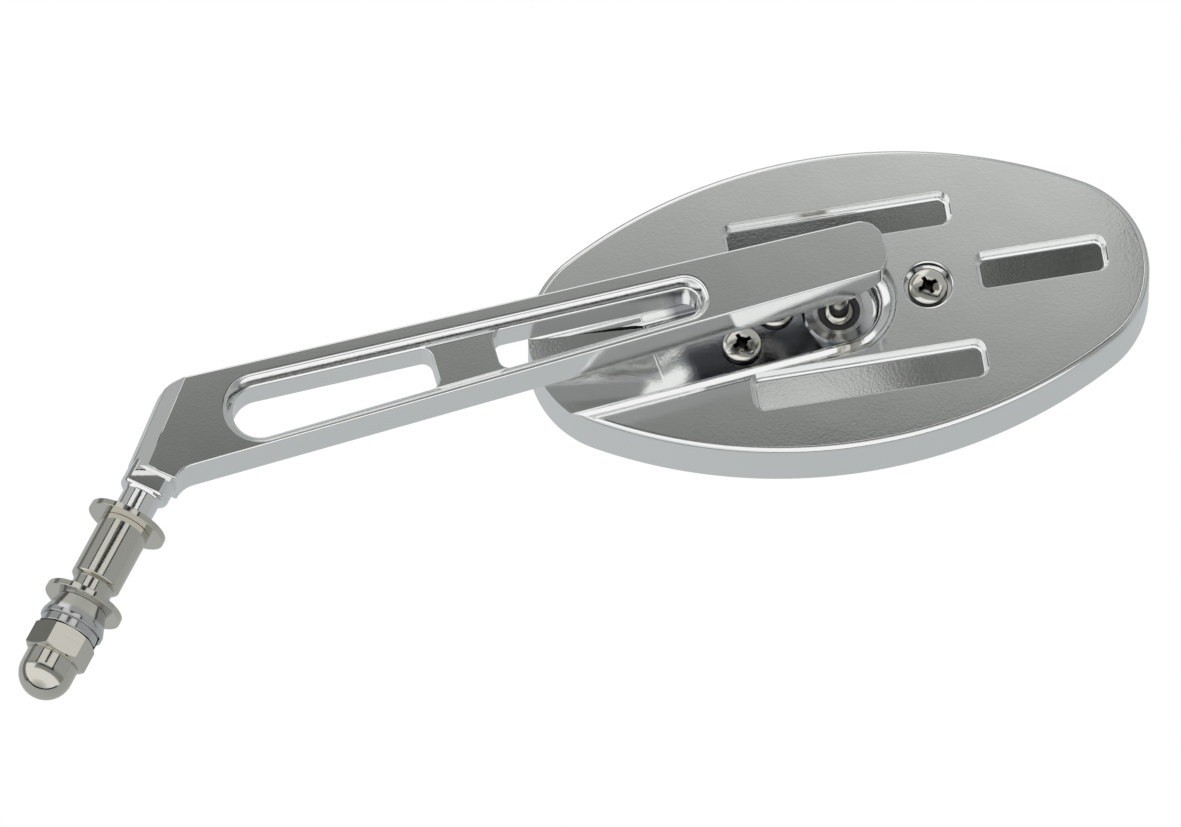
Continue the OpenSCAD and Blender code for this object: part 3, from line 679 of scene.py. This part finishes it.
def build_arm():
    """The arm in one piece: slab, knee, groove, slots, scoop, boss, spigot and the tip's holes."""
    obj = mesh_object("chromed_arm", arm_slab(), ARM_FLAT)
    carve(obj, "DIFFERENCE", knee_flats(), STEM)
    groove = round_end(GROOVE_X0, -1, GROOVE_RIM) + round_end(GROOVE_X1, 1, GROOVE_RIM)
    face = ARM_T / 2
    groove_cut = flared_cut(groove, face - GROOVE_D, face, GROOVE_SLOPE, GROOVE_LIP, foot=0.5)
    carve(obj, "DIFFERENCE", groove_cut, ARM)

    # The slots go through from the back to the groove's floor, with soft edges at both
    x0 = GROOVE_X0 + SLOT_INSET - GROOVE_RIM
    x1 = GROOVE_X1 - SLOT_INSET + GROOVE_RIM
    slots = [
        round_end(x0, -1, SLOT_INSET) + web_end(WEB_X0, 1),
        web_end(WEB_X1, -1) + round_end(x1, 1, SLOT_INSET),
    ]
    back, floor = -face, face - GROOVE_D
    levels = [(back - 0.4, 1.5), (back + 0.05, 0.42), (back + 0.3, 0.1), (back + 0.6, 0.0),
              (floor - 0.45, 0.0), (floor - 0.2, 0.06), (floor - 0.05, 0.24), (floor + 0.4, 1.2)]
    for corners in slots:
        cutter = loft([(outline_corners(corners, grow), z) for z, grow in levels])
        carve(obj, "DIFFERENCE", cutter, ARM)

    carve(obj, "DIFFERENCE", tip_scoop(), ARM)
    carve(obj, "UNION", foot_boss(), STEM)
    spigot = turned([(0, WASHER_T), (SPIGOT_R - 0.3, WASHER_T), (SPIGOT_R, WASHER_T + 0.3),
                     (SPIGOT_R, BOSS_Z - 0.6), (SPIGOT_R + 0.2, BOSS_Z - 0.15),
                     (SPIGOT_R + 0.55, BOSS_Z + 0.4), (0, BOSS_Z + 0.4)])
    carve(obj, "UNION", spigot, STEM)
    hole = turned([(0, -8), (SHOULDER_R, -8), (SHOULDER_R, -3), (SHANK_R, -3), (SHANK_R, 2.5),
                   (0, 2.5)], 64)
    carve(obj, "DIFFERENCE", hole, ARM @ Matrix.Translation((ARM_REACH, 0, 0)))
    grub = turned([(0, 0), (GRUB_R, 0), (GRUB_R, 12), (0, 12)], 32)
    carve(obj, "DIFFERENCE", grub, GRUB)
    return finish_piece(obj, CHROME, "arm", ["arm"], 40)


# Head shell

def channel_corners():
    """The channel's plan in its own turned frame: a round end at the ball, running far past the
    rim."""
    r = CHANNEL_W / 2
    return [(-HEAD_L, -r + 0.5, 0.5), (0, 0, r), (-HEAD_L, r - 0.5, 0.5)]


def channel_ramp():
    """What stays under the channel's floor where it bends and climbs to the rim, as a prism."""
    low = -CHANNEL_D - 2
    run = HEAD_L / 2 - RAMP_START
    slope = (CHANNEL_D - RAMP_END_D) / (run - RAMP_BEND / 2)
    curve = [(-RAMP_START - RAMP_BEND * k / 10,
              -CHANNEL_D + slope * RAMP_BEND * (k / 10) ** 2 / 2) for k in range(11)]
    far = (-RAMP_START - 2 * run, -RAMP_END_D + slope * run)
    bm = prism([(-RAMP_START, low)] + curve + [far, (far[0], low)], -CHANNEL_W, CHANNEL_W)
    bm.transform(UP_TO_FACE)
    return bm


def build_shell():
    """The head's hollow body with its channel, pockets, raised ball seat and screw recess."""
    wall, ledge = -SHELL_WALL, -SHELL_WALL - LEDGE_W
    edge = [(-EDGE_R * (1 - math.cos(a)), -EDGE_R * (1 - math.sin(a)))
            for a in [math.pi / 2 * k / 8 for k in range(9)]]
    # From the ledge inside, round the open rim, up the outside and over the edge
    levels = [(ledge, -PLATE_DEPTH), (ledge, -LEDGE_DEPTH), (wall, -LEDGE_DEPTH),
              (wall, -HEAD_D + 0.35), (wall + 0.1, -HEAD_D + 0.1), (wall + 0.35, -HEAD_D),
              (-0.35, -HEAD_D), (-0.1, -HEAD_D + 0.1), (0, -HEAD_D + 0.35)] + edge
    obj = mesh_object("chromed_head_shell", loft([(oval(grow), z) for grow, z in levels]), HEAD)

    channel_place = HEAD @ Matrix.Rotation(ARM_ANGLE - HEAD_TILT, 4, "Z")
    channel_cut = flared_cut(channel_corners(), -CHANNEL_D, 0, slope=0.25, lip=CHANNEL_LIP,
                             foot=1.4, tilt=0.06, flare=1.5)
    channel = mesh_object("channel_tool", channel_cut, channel_place)
    carve(channel, "DIFFERENCE", channel_ramp(), channel_place)
    carve(obj, "DIFFERENCE", channel)
    seat = turned([(0, -CHANNEL_D - 2), (SEAT_DIA / 2, -CHANNEL_D - 2),
                   (SEAT_DIA / 2, -SEAT_DEPTH - 0.6), (SEAT_DIA / 2 - 0.6, -SEAT_DEPTH),
                   (0, -SEAT_DEPTH)])
    carve(obj, "UNION", seat, HEAD)
    for x, y, length, width in POCKETS:
        pocket = flared_cut(rectangle(x, y, length, width, POCKET_R), -POCKET_D, 0, slope=0.5,
                            lip=0.15, foot=1.0, tilt=0.08)
        carve(obj, "DIFFERENCE", pocket, HEAD)
    ball = bmesh.new()
    bmesh.ops.create_uvsphere(ball, u_segments=64, v_segments=32, radius=SEAT_R)
    carve(obj, "DIFFERENCE", ball, HEAD @ Matrix.Translation((0, 0, -BALL_DEPTH)))
    x, y, depth = SCREWS["screw_outer"]
    recess = turned([(0, -depth), (RECESS_R, -depth), (RECESS_R, -0.45), (RECESS_R + 0.15, -0.2),
                     (RECESS_R + 0.4, -0.05), (RECESS_R + 2.4, 0.4), (0, 0.4)])
    carve(obj, "DIFFERENCE", recess, HEAD @ Matrix.Translation((x, y, 0)))
    return finish_piece(obj, CHROME, "head", ["head_shell"], 40)


# Screws

def build_screw(name):
    """A pan-head screw with a cross recess, at its place in SCREWS."""
    x, y, depth = SCREWS[name]
    place = HEAD @ Matrix.Translation((x, y, -depth))
    height, radius, thread = 2.5, 4.85, 2.5
    dome, cross_turn = 1.35, 20
    top = [(radius * math.sin(a), height - dome + dome * math.cos(a))
           for a in [math.pi / 2 * k / 10 for k in range(11)]]
    tip = -PLATE_DEPTH - 2.0 + depth
    profile = top + [(radius, 0.25), (radius - 0.25, 0), (thread, 0), (thread, tip + 0.6),
                     (thread - 0.6, tip), (0, tip)]
    obj = mesh_object("head_" + name, turned(profile, 64), place)
    # Cross recess: two tapered wings and a centre cone
    for quarter in (0, 90):
        wing = bmesh.new()
        bmesh.ops.create_cube(wing, size=1.0)
        for vert in wing.verts:
            low = vert.co.z < 0
            vert.co.x *= 3.0 if low else 5.4
            vert.co.y *= 0.7 if low else 1.15
            vert.co.z = height - 2.0 if low else height + 0.3
        turn = Matrix.Rotation(math.radians(cross_turn + quarter), 4, "Z")
        carve(obj, "DIFFERENCE", wing, place @ turn)
    cone = turned([(0, height - 2.1), (0.7, height - 1.9), (1.5, height + 0.2),
                   (0, height + 0.2)], 24)
    carve(obj, "DIFFERENCE", cone, place)
    # The screw's colour is painted dark from 0.75 mm under its top, as painted shade
    plate = screw_nickel(HEAD_Y + depth - height + 0.75)
    return finish_piece(obj, plate, "head", [name], 30)


# Stem stack

def build_turned(name, profile, mat, body, node):
    """A turned piece of the stem from its closed section, with its corners slightly rounded."""
    obj = mesh_object(name, turned(rounded(profile, 0.2)), STEM)
    return finish_piece(obj, mat, body, [node], 30)


def washer_section(low, high):
    return [(STEM_HOLE_R, low), (WASHER_R, low), (WASHER_R, high), (STEM_HOLE_R, high)]


def build_stack():
    """The two washers, the sleeve with its nose and the collar."""
    build_turned("large_washer_upper", washer_section(0, WASHER_T),
                 NICKEL, "arm", "upper_washer")
    build_turned("large_washer_lower", washer_section(COLLAR_Z, NOSE_Z),
                 NICKEL, "nut_stack", "lower_washer")
    sleeve = [(STEM_HOLE_R, 0), (STEM_HOLE_R, NOSE_Z), (NOSE_R, NOSE_Z), (NOSE_R, SLEEVE_Z - 0.7),
              (SLEEVE_R - 0.7, SLEEVE_Z - 0.7), (SLEEVE_R, SLEEVE_Z), (SLEEVE_R, 0)]
    build_turned("plated_spacer_sleeve", sleeve, NICKEL, "arm", "spacer_sleeve")
    collar = [(STEM_HOLE_R, COLLAR_Z), (STEM_HOLE_R, LOCK_Z), (8.15, LOCK_Z), (8.15, LOCK_Z + 1.2),
              (6.4, COLLAR_Z)]
    build_turned("bevelled_collar", collar, ZINC, "nut_stack", "bevel_collar")


def build_stud():
    """The stud with its thread drawn as rings at the real pitch."""
    pitch, crest, root, chamfer = 1.25, 4.0, 3.35, 0.8
    bottom, top = -44.1, 21.0
    profile = [(0, bottom), (crest - chamfer, bottom)]
    for k in range(int((top - bottom - 2 * chamfer) / pitch)):
        z = bottom + chamfer + k * pitch
        profile += [(root, z), (crest, z + pitch * 0.45), (crest, z + pitch * 0.6)]
    profile += [(crest, top), (0, top)]
    obj = mesh_object("threaded_stud", turned(profile, 48), STEM)
    return finish_piece(obj, ZINC, "arm", ["mounting_stud"], 25)


def build_nut():
    """The domed nut: a chamfered hexagon, the dome under it and the bore."""
    flats, hexagon_h, dome_r, dome_l = 14.0, 7.0, 6.7, 3.9
    bore_r, bore_l, hexagon_turn = 4.05, 13, -15
    corner = flats / math.cos(math.pi / 6) / 2
    top, bottom = NUT_Z, NUT_Z - hexagon_h
    hexagon = bmesh.new()
    bmesh.ops.create_cone(hexagon, cap_ends=True, segments=6, radius1=corner, radius2=corner,
                          depth=hexagon_h)
    obj = mesh_object("domed_nut", hexagon,
                      Matrix.Translation((0, 0, (top + bottom) / 2))
                      @ Matrix.Rotation(math.radians(hexagon_turn), 4, "Z"))
    chamfer = turned([(0, top), (flats / 2 - 0.1, top), (corner + 0.2, top - 0.75),
                      (corner + 0.2, bottom + 0.9), (flats / 2 - 0.3, bottom), (0, bottom)])
    carve(obj, "INTERSECT", chamfer, STEM)
    arc = [(dome_r * math.cos(a), bottom - dome_l - dome_r * math.sin(a))
           for a in [math.pi / 2 * k / 20 for k in range(21)]]
    dome = [(0, bottom + 2), (dome_r - 0.25, bottom + 2), (dome_r - 0.25, bottom - 0.25),
            (dome_r, bottom - 0.6)] + arc[:-1] + [(0, bottom - dome_l - dome_r)]
    carve(obj, "UNION", turned(dome), STEM)
    bore = turned([(0, top + 1), (bore_r, top + 1), (bore_r, top - bore_l), (0, top - bore_l)], 48)
    carve(obj, "DIFFERENCE", bore, STEM)
    return finish_piece(obj, NICKEL, "nut_stack", ["acorn_nut"], 25)


def build_lock_washer():
    """A split ring, cut through at a slant."""
    outer, t, split_w, slant = 7.5, 2.2, 1.6, 20
    low = LOCK_Z - t
    profile = rounded([(STEM_HOLE_R, low), (outer, low), (outer, LOCK_Z), (STEM_HOLE_R, LOCK_Z)],
                      0.25)
    obj = mesh_object("split_lock_washer", turned(profile), STEM)
    slit = bmesh.new()
    bmesh.ops.create_cube(slit, size=1.0)
    slit.transform(Matrix.Translation((6, 0, LOCK_Z - t / 2))
                   @ Matrix.Rotation(math.radians(slant), 4, "X")
                   @ Matrix.Diagonal((8, split_w, 8, 1)))
    carve(obj, "DIFFERENCE", slit, STEM)
    return finish_piece(obj, ZINC, "nut_stack", ["lock_washer"], 25)


# Ball stud, in the arm's frame at the ball's axis

def build_ball_stud():
    """The ball, its neck and flange, and the shoulder and shank that sit in the arm's tip."""
    ball_z = -(ARM_T / 2 + HEAD_GAP + BALL_DEPTH)
    face = -ARM_T / 2
    join = math.asin(NECK_R / BALL_R)
    arc = [(BALL_R * math.sin(a), ball_z - BALL_R * math.cos(a))
           for a in [(math.pi - join) * k / 28 for k in range(29)]]
    profile = arc + [(NECK_R, face - 5.6), (NECK_R + 0.2, face - 5.2),
                     (SHOULDER_R - 0.2, face - 2.6), (SHOULDER_R, face - 2.4),
                     (SHOULDER_R, face + 3.3), (SHOULDER_R - 0.2, face + 3.5),
                     (SHANK_R, face + 3.5), (SHANK_R, face + 9.0), (0, face + 9.0)]
    place = ARM @ Matrix.Translation((ARM_REACH, 0, 0))
    obj = mesh_object("turned_ball_stud", turned(profile), place)
    return finish_piece(obj, NICKEL, "arm", ["ball_stud"], 30)


# Glass and seal, in the head's frame

def build_glass():
    """The mirror plate inside the seal, with ground edges."""
    back, front = -HEAD_D + GLASS_INSET + GLASS_T, -HEAD_D + GLASS_INSET
    edge = -SHELL_WALL - SEAL_W
    levels = [(edge - 0.2, back), (edge, back - 0.2), (edge, front + 0.5),
              (edge - 0.15, front + 0.15), (edge - 0.5, front)]
    obj = mesh_object("mirror_plate", loft([(oval(grow), z) for grow, z in levels]), HEAD)
    return finish_piece(obj, MIRROR, "head", ["mirror_glass"], 50)


def build_seal():
    """The ring of rubber between glass and wall."""
    low, high = -HEAD_D + 0.2, -HEAD_D + GLASS_INSET + GLASS_T
    outer, inner = -SHELL_WALL, -SHELL_WALL - SEAL_W
    bm = bmesh.new()
    section = [(outer, high), (outer, low + 0.15), (outer - 0.15, low), (inner + 0.2, low),
               (inner, low + 0.25), (inner, high)]
    rings = [ring_edges(bm, oval(grow), z) for grow, z in section]
    for a, b in zip(rings, rings[1:] + rings[:1]):
        bmesh.ops.bridge_loops(bm, edges=a + b)
    bmesh.ops.recalc_face_normals(bm, faces=bm.faces)
    obj = mesh_object("rubber_glass_seal", bm, HEAD)
    return finish_piece(obj, RUBBER, "head", ["glass_seal"], 50)


build_arm()
build_shell()
for screw_name in SCREWS:
    build_screw(screw_name)
build_stack()
build_stud()
build_nut()
build_lock_washer()
build_ball_stud()
build_glass()
build_seal()

# The pieces whose solids are right keep them and take their finish
for node, mat in {
    "stud_grub_screw": ZINC,
    "socket_plate": ZINC,
    "pressure_cup": ZINC,
    "ball_liner": NYLON,
    "backing_pad": FOAM,
}.items():
    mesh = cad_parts[node].data
    mesh.materials.clear()
    mesh.materials.append(mat)


# Studio: pale floor, a grey card in front of the part, light walls round it

# Middle of the part of the card that the head's back mirrors, the card's own centre from there
# along and across the head, and half its size
CARD_MIDDLE = Vector((45.4, -400.0, 297.4))
CARD_SHIFT = (-25, -16, 0)
CARD_HALF = (215, 94, 1, 1)
BORDER = "#151716"

# Patches over the card's border, in painting order: reach along the head, reach across it, tone
PATCHES = (
    ((-32, 1, 3, 14), (-110, -82, 1, 3), "#C6C8C6"),
    ((48, 90, 14, 1), (-80, -62, 1, 1), "#444644"),
    ((-12, 10, 2, 10), (-61, -50, 1, 1), "#2A2C2A"),
)


def build_floor():
    """Pale floor under the part, clear from below so that a low camera looks past it."""
    bm = bmesh.new()
    bmesh.ops.create_grid(bm, x_segments=1, y_segments=1, size=2000)
    lowest = CAD_BOX[0][2] / MM - 0.5
    floor = mesh_object("floor", bm, Matrix.Translation((60, 10, lowest)))
    mat, tree, shader = material("pale_floor", Base_Color=rgb("#F4F4F2"), Roughness=0.9)
    below = add(tree, "ShaderNodeNewGeometry").outputs["Backfacing"]
    clear = add(tree, "ShaderNodeBsdfTransparent").outputs[0]
    mix = add(tree, "ShaderNodeMixShader", i0=below, i1=shader.outputs[0], i2=clear)
    tree.links.new(mix.outputs[0], tree.nodes["Material Output"].inputs["Surface"])
    floor.data.materials.append(mat)
    floor.visible_glossy = False


def build_card():
    """A grey card that only reflections see: lighter at the top right, dark below, with light and
    dark patches that the head's pockets and channel mirror."""
    turn = Matrix.Rotation(-HEAD_TILT, 4, "Y") @ UP_TO_FACE
    bm = bmesh.new()
    bmesh.ops.create_grid(bm, x_segments=1, y_segments=1, size=1)
    bm.transform(Matrix.Translation(CARD_MIDDLE) @ turn @ Matrix.Translation(CARD_SHIFT)
                 @ Matrix.Diagonal(CARD_HALF))
    card = mesh_object("grey_card", bm, Matrix.Identity(4))
    mat = bpy.data.materials.new("grey_card")
    mat.use_nodes = True
    tree = mat.node_tree
    tree.nodes.clear()

    # Place on the card in mm along (u) and across (v) the head
    place = add(tree, "ShaderNodeTexCoord").outputs["Object"]
    shift = add(tree, "ShaderNodeVectorMath", {"operation": "SUBTRACT"},
                i0=place, i1=CARD_MIDDLE * MM).outputs[0]
    c, s = math.cos(HEAD_TILT) / MM, math.sin(HEAD_TILT) / MM
    u, v = places_along(tree, shift, (c, 0, s), (-s, 0, c))

    # A slope of grey that rises upwards and to the right, and falls off slowly left of u = -40
    right = add(tree, "ShaderNodeMath", {"operation": "MAXIMUM"}, i0=u, i1=-40.0)
    from_bend = add(tree, "ShaderNodeMath", {"operation": "ADD"}, i0=u, i1=40.0)
    left = add(tree, "ShaderNodeMath", {"operation": "MINIMUM"}, i0=from_bend.outputs[0], i1=0.0)
    slope = add(tree, "ShaderNodeMath", {"operation": "MULTIPLY"}, i0=v, i1=0.72)
    for side, steepness in ((left, 0.1), (right, 0.3)):
        slope = add(tree, "ShaderNodeMath", {"operation": "MULTIPLY_ADD"},
                    i0=side.outputs[0], i1=steepness, i2=slope.outputs[0])
    grey = shades(tree, slope.outputs[0], -75.0, 45.0,
                  [(0.0, "#646664"), (0.33, "#808280"), (0.67, "#A3A5A3"), (1.0, "#CBCCCB")])

    # Even and darker below and at the right, with two dark patches, inside a dark border
    grey = paint(tree, grey, "#6C6E6C", (v, -200, -44, 1, 4))
    grey = paint(tree, grey, "#747674", (u, 88, 300, 6, 1))
    grey = paint(tree, grey, "#2E302F", (u, -72, -12, 4, 6), (v, -80, -54, 2, 4))
    grey = paint(tree, grey, BORDER, (u, -300, -72, 1, 10), (v, -120, -66, 1, 6))
    grey = paint(tree, BORDER, grey, (u, -228, 172, 3, 3), (v, -101, 62, 3, 3))
    for reach_u, reach_v, tone in PATCHES:
        grey = paint(tree, grey, tone, (u, *reach_u), (v, *reach_v))

    glow = add(tree, "ShaderNodeEmission", Color=grey, Strength=1.0)
    out = add(tree, "ShaderNodeOutputMaterial")
    tree.links.new(glow.outputs[0], out.inputs["Surface"])
    card.data.materials.append(mat)
    card.visible_camera = False
    card.visible_diffuse = False
    card.visible_shadow = False


def build_world():
    """White for the eye; a metal sees a light floor, duller walls, and dark gaps between them."""
    world = bpy.data.worlds.new("studio")
    bpy.context.scene.world = world
    world.use_nodes = True
    tree = world.node_tree
    tree.nodes.clear()

    # The way a ray goes, as its share in front of the part, to its right and upwards, and how far
    # its bearing lies from the middle of the front wall
    way = add(tree, "ShaderNodeTexCoord").outputs["Generated"]
    ahead, side, height = places_along(tree, way, (0, -1, 0), (1, 0, 0), (0, 0, 1))
    bearing = add(tree, "ShaderNodeMath", {"operation": "ARCTAN2"}, i0=side, i1=ahead).outputs[0]
    shifted = add(tree, "ShaderNodeMath", {"operation": "ADD"}, i0=bearing, i1=0.187).outputs[0]
    off = add(tree, "ShaderNodeMath", {"operation": "ABSOLUTE"}, i0=shifted).outputs[0]
    steep = add(tree, "ShaderNodeMath", {"operation": "ABSOLUTE"}, i0=height).outputs[0]

    # In front: floor, horizon and wall from below
    studio = shades(tree, height, -1.0, 1.0,
                    [(0.0, "#C2C4C4"), (0.10, "#FFFFFF"), (0.36, "#FFFFFF"), (0.385, "#9A9C9C"),
                     (0.51, "#8E9090"), (0.625, "#AEB0B0"), (1.0, "#B4B6B7")])
    # Dark strip straight ahead
    studio = paint(tree, studio, "#151716", (height, 0.04, 0.2, 0.02, 0.04),
                   (ahead, 0.86, 2, 0.05, 0.1))
    # White panels at the left, one high and one low
    studio = paint(tree, studio, "#FFFFFF", (side, -2, -0.42, 0.1, 0.1),
                   (height, 0.56, 2, 0.05, 0.1))
    studio = paint(tree, studio, "#FFFFFF", (side, -2, -0.75, 0.1, 0.1),
                   (height, -0.3, 0.02, 0.05, 0.05))
    # Light screen in the middle, with a dark strip at either side
    studio = paint(tree, studio, "#EDEDEB", (off, -1, 0.58, 0.01, 0.02),
                   (height, 0.2, 0.5, 0.1, 0.1))
    studio = paint(tree, studio, "#101213", (off, 0.60, 0.68, 0.02, 0.02),
                   (height, 0.15, 0.55, 0.05, 0.05))
    # Behind the part: a light wall, a duller corner at the left, dark gaps high and low
    back = shades(tree, side, -1.0, 1.0, [(0.0, "#C0C3C4"), (0.5, "#BEC1C2"), (1.0, "#B4B6B7")])
    studio = paint(tree, studio, back, (ahead, -2, -0.09, 0.1, 0.02))
    studio = paint(tree, studio, "#7C7E7C", (side, -2, -0.7, 0.1, 0.1),
                   (ahead, -0.34, -0.03, 0.02, 0.01))
    studio = paint(tree, studio, "#101213", (side, -0.72, 2, 0.05, 0.1),
                   (ahead, -0.15, -0.03, 0.01, 0.01), (steep, 0.45, 2, 0.1, 0.1))

    mirrored = add(tree, "ShaderNodeLightPath").outputs["Is Glossy Ray"]
    metal = add(tree, "ShaderNodeBackground", Color=studio, Strength=1.0)
    white = add(tree, "ShaderNodeBackground", Color=(1, 1, 1, 1))
    mix = add(tree, "ShaderNodeMixShader", i0=mirrored, i1=white.outputs[0], i2=metal.outputs[0])
    out = add(tree, "ShaderNodeOutputWorld")
    tree.links.new(mix.outputs[0], out.inputs["Surface"])


def build_lamps():
    """Two soft lamps, in metres and watts, aimed at the part; reflections don't see them."""
    aim = Vector((0.08, 0.01, 0.08))
    for name, spot, size, power in (
        ("key_softbox", (0.5, -0.9, 1.2), 0.8, 6.0),
        ("fill_softbox", (-0.9, -0.3, 0.6), 0.9, 3.0),
    ):
        lamp = bpy.data.lights.new(name, "AREA")
        lamp.size = size
        lamp.energy = power
        obj = bpy.data.objects.new(name, lamp)
        obj.location = spot
        obj.rotation_euler = (aim - Vector(spot)).to_track_quat("-Z", "Y").to_euler()
        obj.visible_glossy = False
        bpy.context.scene.collection.objects.link(obj)


def build_camera():
    """The photograph's view: from the head's back, below the horizon, rolled so that the head lies
    level. The ball's place and the scale in the photo set the aim and the lens."""
    right = Vector((0.8957, 0.0, 0.4446)).normalized()
    up = Vector((-0.4093, -0.3907, 0.8245)).normalized()
    back = right.cross(up).normalized()
    up = back.cross(right)
    pixels_per_mm = 4.12
    distance = 8000.0
    sensor_w = 36.0
    frame_w, frame_h = 1181.0, 827.0
    head_x, head_y = 839.0, 300.3
    head = BALL + Vector((0, HEAD_Y, 0))
    shift = Vector((frame_w / 2 - head_x, head_y - frame_h / 2)) / pixels_per_mm
    look = head + right * shift.x + up * shift.y
    camera = bpy.data.cameras.new("photo_camera")
    camera.sensor_width = sensor_w
    camera.lens = pixels_per_mm * distance / frame_w * sensor_w
    camera.clip_end = 20
    obj = bpy.data.objects.new("photo_camera", camera)
    turn = Matrix((right, up, back)).transposed().to_4x4()
    obj.matrix_world = Matrix.Translation((look + back * distance) * MM) @ turn
    bpy.context.scene.collection.objects.link(obj)
    bpy.context.scene.camera = obj


build_floor()
build_card()
build_world()
build_lamps()
build_camera()
bpy.context.scene.view_settings.view_transform = "Standard"
